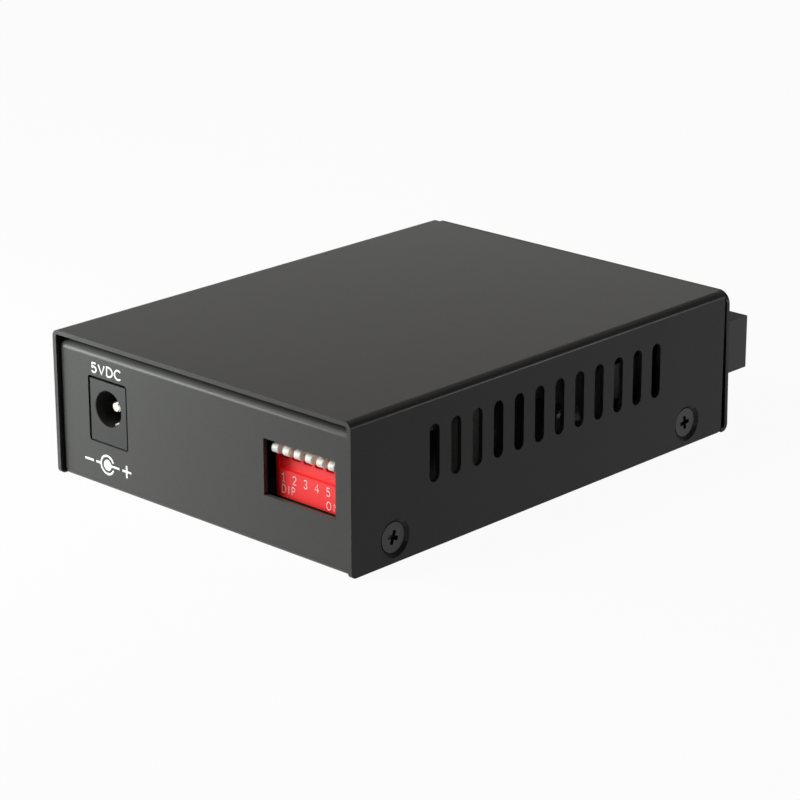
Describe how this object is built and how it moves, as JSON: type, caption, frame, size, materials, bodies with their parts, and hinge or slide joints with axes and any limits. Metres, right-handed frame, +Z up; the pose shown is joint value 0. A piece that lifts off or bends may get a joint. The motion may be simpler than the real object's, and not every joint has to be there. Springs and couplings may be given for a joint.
{
  "type": "fibre media converter",
  "caption": "Folded steel box with a barrel power jack and a piano DIP switch at one end, a copper network port, indicator lamps and a duplex fibre port at the other.",
  "frame": {"origin": "on the underside of the case, midway between its sides and midway along its cover", "axes": "+Z up, +Y towards the fibre and copper ports, -Y towards the power jack, +X the side nearer the fibre port"},
  "size_m": [0.071, 0.108, 0.0264],
  "materials": {
    "case_coating": "satin black powder coat",
    "screw_black": "black zinc plating",
    "plated_steel": "tin plating",
    "nickel": "bright nickel plating",
    "gold": "gold flash",
    "board_laminate": "green solder mask",
    "black_plastic": "moulded",
    "red_plastic": "moulded",
    "white_plastic": "moulded",
    "ceramic": "fired ceramic",
    "green_lens": "translucent lens",
    "chip_black": "moulded epoxy",
    "capacitor_can": "bright can"
  },
  "bodies": {
    "case": {"base_tray": "case_coating", "cover": "case_coating", "cover_screws": "screw_black", "board_standoffs": "plated_steel", "board_screws": "plated_steel", "circuit_board": "board_laminate", "power_jack_housing": "black_plastic", "power_jack_pin": "nickel", "power_jack_spring": "nickel", "power_jack_terminals": "plated_steel", "dip_switch_housing": "red_plastic", "dip_switch_base": "black_plastic", "dip_switch_terminals": "plated_steel", "rj45_shield": "plated_steel", "rj45_housing": "black_plastic", "rj45_contacts": "gold", "fibre_receptacle": "black_plastic", "fibre_sleeves": "ceramic", "transceiver_module": "black_plastic", "transceiver_pins": "gold", "lamp_holder": "black_plastic", "lamps": "green_lens", "lamp_leads": "plated_steel", "converter_chip": "chip_black", "converter_chip_leads": "plated_steel", "memory_chip": "chip_black", "isolation_transformer": "chip_black", "crystal": "plated_steel", "electrolytic_capacitors": "capacitor_can", "power_inductor": "chip_black", "voltage_regulator": "chip_black", "chip_components": "ceramic"},
    "lever_1": {"dip_lever_1": "white_plastic"},
    "lever_2": {"dip_lever_2": "white_plastic"},
    "lever_3": {"dip_lever_3": "white_plastic"},
    "lever_4": {"dip_lever_4": "white_plastic"},
    "lever_5": {"dip_lever_5": "white_plastic"},
    "lever_6": {"dip_lever_6": "white_plastic"}
  },
  "joints": [
    {"name": "lever_1_flip", "type": "hinge", "parent": "case", "child": "lever_1", "pos_m": [0.01682, -0.04055, 0.0163], "axis": [1, 0, 0], "range_deg": [0, 16]},
    {"name": "lever_2_flip", "type": "hinge", "parent": "case", "child": "lever_2", "pos_m": [0.01936, -0.04055, 0.0163], "axis": [1, 0, 0], "range_deg": [0, 16]},
    {"name": "lever_3_flip", "type": "hinge", "parent": "case", "child": "lever_3", "pos_m": [0.0219, -0.04055, 0.0163], "axis": [1, 0, 0], "range_deg": [0, 16]},
    {"name": "lever_4_flip", "type": "hinge", "parent": "case", "child": "lever_4", "pos_m": [0.02444, -0.04055, 0.0163], "axis": [1, 0, 0], "range_deg": [0, 16]},
    {"name": "lever_5_flip", "type": "hinge", "parent": "case", "child": "lever_5", "pos_m": [0.02698, -0.04055, 0.0163], "axis": [1, 0, 0], "range_deg": [0, 16]},
    {"name": "lever_6_flip", "type": "hinge", "parent": "case", "child": "lever_6", "pos_m": [0.02952, -0.04055, 0.0163], "axis": [1, 0, 0], "range_deg": [0, 16]}
  ]
}
